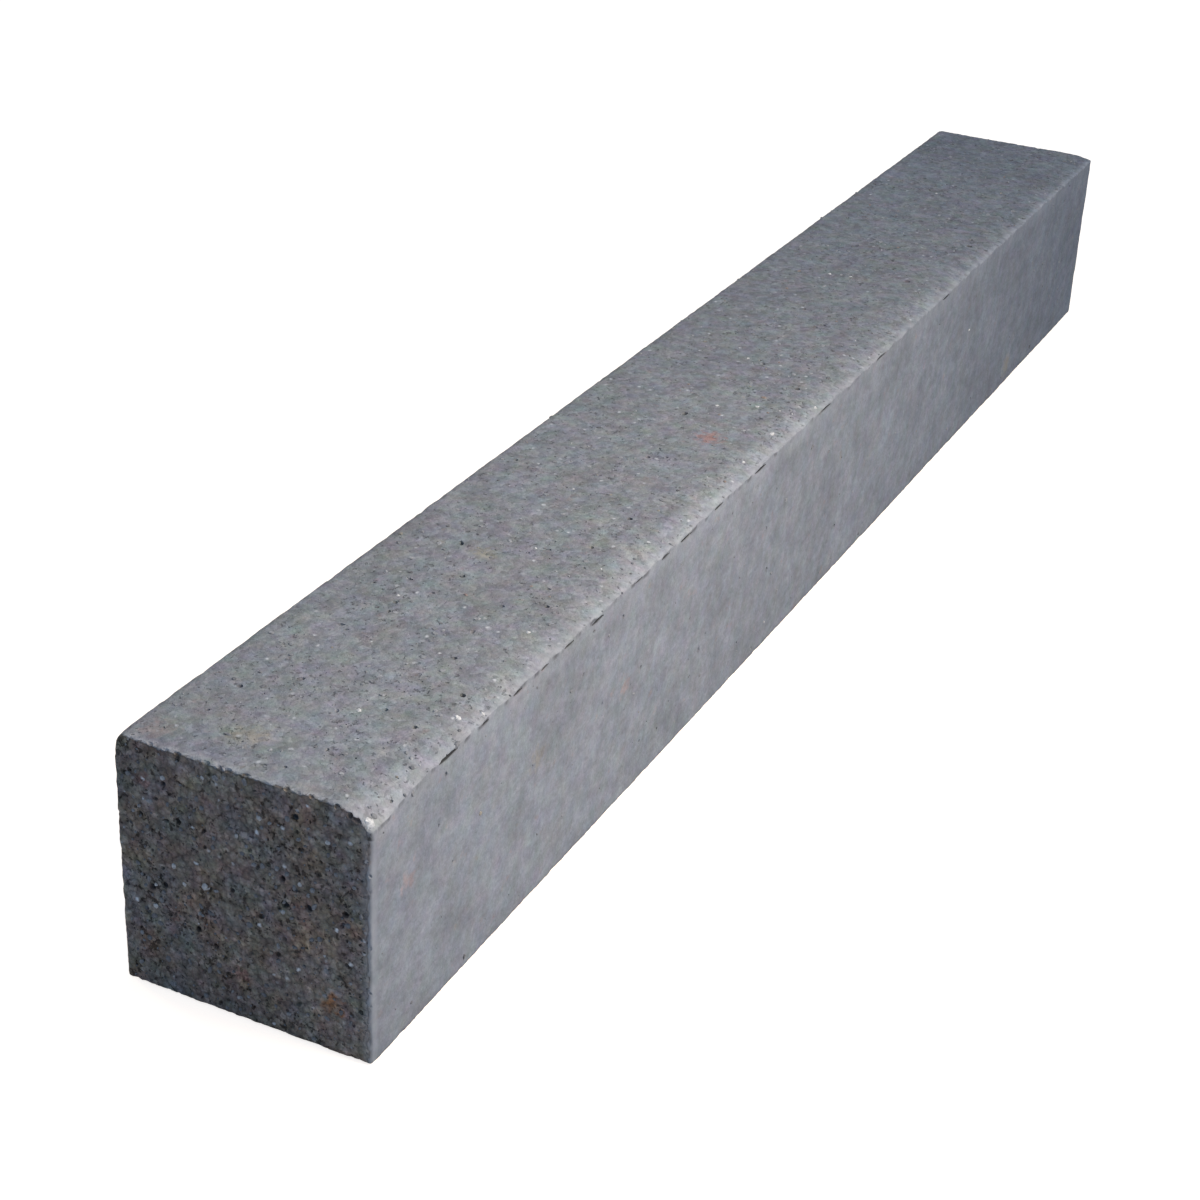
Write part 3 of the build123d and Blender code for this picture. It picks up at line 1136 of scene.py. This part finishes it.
def keep_inside(mesh):
    """Keeps every point of a piece just inside the stone's own box."""
    points = np.empty(len(mesh.vertices) * 3)
    mesh.vertices.foreach_get("co", points)
    low, high = np.array(stone_low) + BOX_MARGIN, np.array(stone_high) - BOX_MARGIN
    points = np.clip(points.reshape(-1, 3), low, high)
    mesh.vertices.foreach_set("co", points.ravel())


def dress_stone():
    """The stone's body with its pores, and the grains that stand out of it."""
    body = cast_stone()
    grains = linked("sand_grains", body.data.copy())
    marks, shown = mark_points(), grain_points()
    shaped(body, pore_tree(), {"Marks": marks, "Material": concrete(), "Seed": SEED})
    shaped(grains, grain_tree(), {"Listed": shown, "Material": grain_material(), "Seed": SEED + 3})
    bpy.data.objects.remove(marks)
    bpy.data.objects.remove(shown)
    for piece in (body, grains):
        store_depth(piece.data)
        keep_inside(piece.data)
        piece.data.shade_smooth()
        piece.data.set_sharp_from_angle(angle=SHARP_ANGLE)
        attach(piece, "root")
    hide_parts(STONE)


dress_stone()


# The studio

# The floor as it lights the stone, and as the camera sees it, with the glow that makes it white
FLOOR_BOUNCE = (0.50, 0.53, 0.58, 1)
FLOOR_SEEN = (1.0, 0.78, 0.58, 1)
FLOOR_GLOW = (1.0, 0.975, 0.965, 1)
GLOW_STRENGTH = 0.81
SKY = (0.48, 0.68, 1.0, 1)
SKY_STRENGTH = 0.425


def seen_plainly(tree):
    """1 where the camera, a reflection or glass looks at a thing, and 0 where it lights the stone."""
    seen = add(tree, "ShaderNodeLightPath").outputs
    plain = maths(tree, "MAXIMUM", seen["Is Camera Ray"], seen["Is Glossy Ray"])
    return maths(tree, "MAXIMUM", plain, seen["Is Transmission Ray"])


def lay_floor():
    """A pale floor that the camera sees as white, apart from the stone's shadow."""
    bpy.ops.mesh.primitive_plane_add(size=30)
    floor = bpy.context.object
    floor.name = "floor"
    material = bpy.data.materials.new("pale_floor")
    tree = blank_tree(material)
    plain = seen_plainly(tree)
    matte = add(tree, "ShaderNodeBsdfDiffuse", {"Color": mixed(tree, plain, FLOOR_BOUNCE, FLOOR_SEEN)})
    glow = add(tree, "ShaderNodeEmission", {"Color": FLOOR_GLOW,
                                            "Strength": product(tree, plain, GLOW_STRENGTH)})
    both = add(tree, "ShaderNodeAddShader", {0: matte.outputs[0], 1: glow.outputs[0]})
    add(tree, "ShaderNodeOutputMaterial", {"Surface": both.outputs[0]})
    floor.data.materials.append(material)


def light_world():
    """Soft sky light, seen by the camera as white."""
    world = bpy.data.worlds.new("studio")
    bpy.context.scene.world = world
    tree = blank_tree(world)
    soft = add(tree, "ShaderNodeBackground", {"Color": SKY, "Strength": SKY_STRENGTH})
    white = add(tree, "ShaderNodeBackground", {"Color": (1, 1, 1, 1), "Strength": 1.0})
    shown = add(tree, "ShaderNodeMixShader",
                {0: seen_plainly(tree), 1: soft.outputs[0], 2: white.outputs[0]})
    add(tree, "ShaderNodeOutputWorld", {"Surface": shown.outputs[0]})


def add_lamp(name, at, aim, size, power, colour):
    """A round area lamp, turned towards its aim."""
    data = bpy.data.lights.new(name, "AREA")
    data.shape = "DISK"
    data.size = size
    data.energy = power
    data.color = colour
    lamp = linked(name, data)
    lamp.location = at
    lamp.rotation_euler = (Vector(aim) - Vector(at)).to_track_quat("-Z", "Y").to_euler()


light_world()
lay_floor()
add_lamp("key", at=(-0.27, -0.60, 0.68), aim=(-0.29, 0, 0.08),
         size=0.5, power=8.2, colour=(1.0, 0.91, 0.81))
add_lamp("back", at=(-0.1, 1.4, 0.22), aim=(-0.1, 0, 0.06),
         size=0.3, power=9, colour=(1.0, 0.87, 0.73))


# The camera, at the photograph's viewing angle

CAMERA_AT = (-1.109, -0.4341, 0.5929)
VIEW_AZIMUTH = -64.967
VIEW_ELEVATION = 27.944
VIEW_ROLL = -2.847
LENS = 68.16
SENSOR = 36


def set_camera():
    """The camera that the picture is taken with."""
    data = bpy.data.cameras.new("camera")
    data.lens = LENS
    data.sensor_width = SENSOR
    camera = linked("camera", data)
    turn = Matrix.Rotation(math.radians(VIEW_AZIMUTH), 4, "Z") \
        @ Matrix.Rotation(math.radians(90 - VIEW_ELEVATION), 4, "X") \
        @ Matrix.Rotation(math.radians(-VIEW_ROLL), 4, "Z")
    camera.matrix_world = Matrix.Translation(CAMERA_AT) @ turn
    bpy.context.scene.camera = camera


set_camera()

scene = bpy.context.scene
scene.view_settings.view_transform = "Standard"

bpy.context.view_layer.update()
